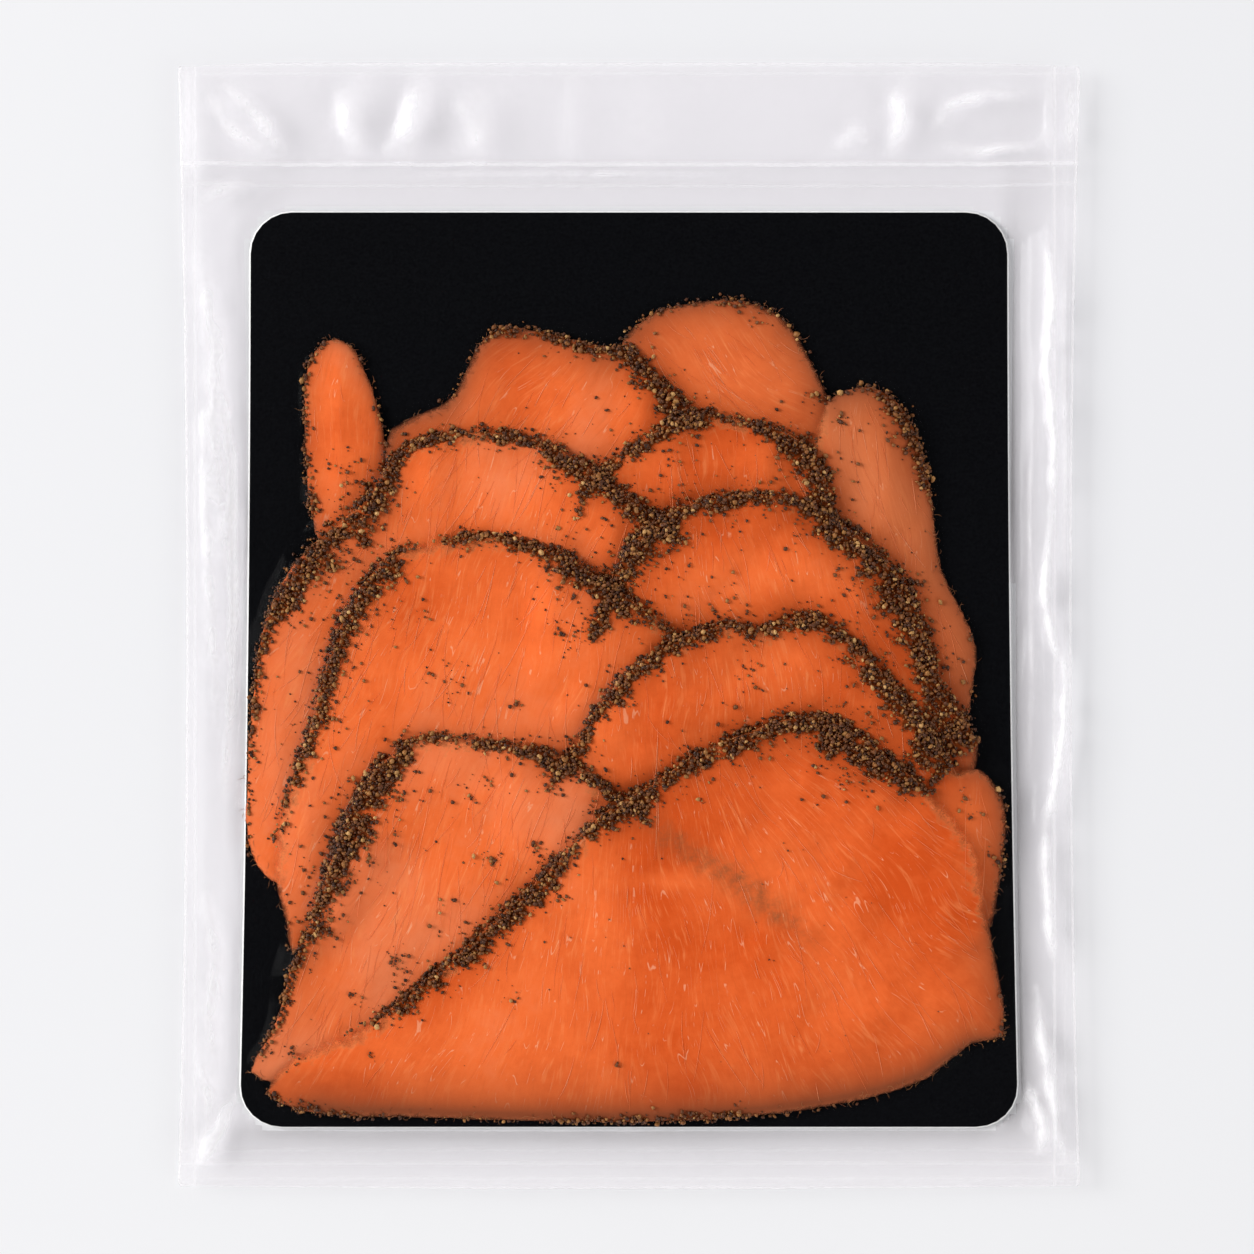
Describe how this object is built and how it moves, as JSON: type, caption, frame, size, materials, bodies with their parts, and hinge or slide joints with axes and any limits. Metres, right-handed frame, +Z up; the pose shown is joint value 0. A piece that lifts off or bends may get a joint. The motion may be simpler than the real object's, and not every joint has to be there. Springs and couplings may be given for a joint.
{
  "type": "vacuum pack of smoked salmon",
  "caption": "Flat clear vacuum pouch holding overlapping pepper-crusted slices of smoked salmon on a rounded black card.",
  "frame": {"origin": "centre of the pack's outline, on the surface that it lies on", "axes": "+Y towards the pack's header (its top edge), +X to the right when the slices face up, +Z up"},
  "size_m": [0.2306, 0.288, 0.0125],
  "materials": {
    "film": "clear glossy laminate, creased round the card, with flat welded seams",
    "card": "satin black printed face with a fine white die-cut edge",
    "flesh": null,
    "pepper": "coarse cracked black pepper, matte"
  },
  "bodies": {
    "root": {"pouch": "film", "card": "card", "slice_finger": "flesh", "slice_crown": "flesh", "slice_right_rim": "flesh", "slice_left_crown": "flesh", "slice_right_1": "flesh", "slice_left_1": "flesh", "slice_right_2": "flesh", "slice_left_2": "flesh", "slice_right_3": "flesh", "slice_left_3": "flesh", "slice_front": "flesh"}
  },
  "joints": []
}
